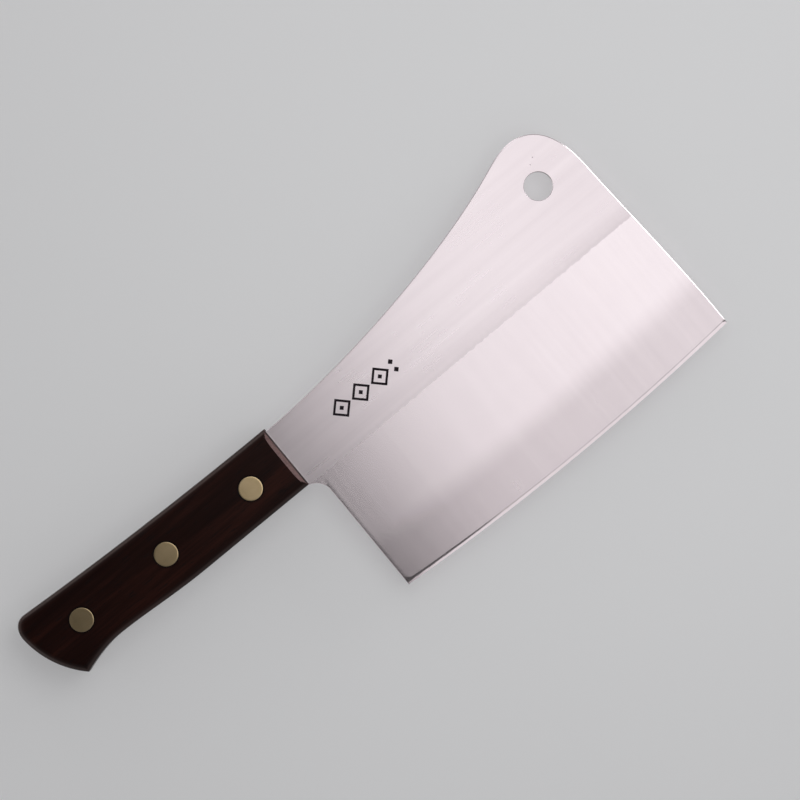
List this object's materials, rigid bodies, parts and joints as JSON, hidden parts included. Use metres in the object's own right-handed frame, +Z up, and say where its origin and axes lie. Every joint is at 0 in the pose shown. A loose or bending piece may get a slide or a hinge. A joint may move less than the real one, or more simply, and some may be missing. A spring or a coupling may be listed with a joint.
{
  "type": "meat cleaver",
  "caption": "Heavy full-tang meat cleaver: broad steel blade with a hanging hole and an upswept spine corner, dark wood handle scales held by flush brass rivets.",
  "frame": {"origin": "below the middle of the overall length, in the middle of the thickness, at the lowest point of the cutting edge", "axes": "+X along the blade towards its front, with the handle towards -X; +Z up from the edge to the spine; Y across the thickness, and the near face looks along -Y"},
  "size_m": [0.3076, 0.0206, 0.1177],
  "materials": {
    "blade_steel": "satin brushed stainless steel",
    "handle_wood": "dark reddish brown rosewood, oiled, low sheen",
    "rivet_brass": "ground flush, satin, slightly dulled"
  },
  "bodies": {
    "root": {"blade": "blade_steel", "near_scale": "handle_wood", "far_scale": "handle_wood", "rivet_post_front": "rivet_brass", "rivet_post_middle": "rivet_brass", "rivet_post_rear": "rivet_brass", "rivet_sleeve_front": "rivet_brass", "rivet_sleeve_middle": "rivet_brass", "rivet_sleeve_rear": "rivet_brass"}
  },
  "joints": []
}
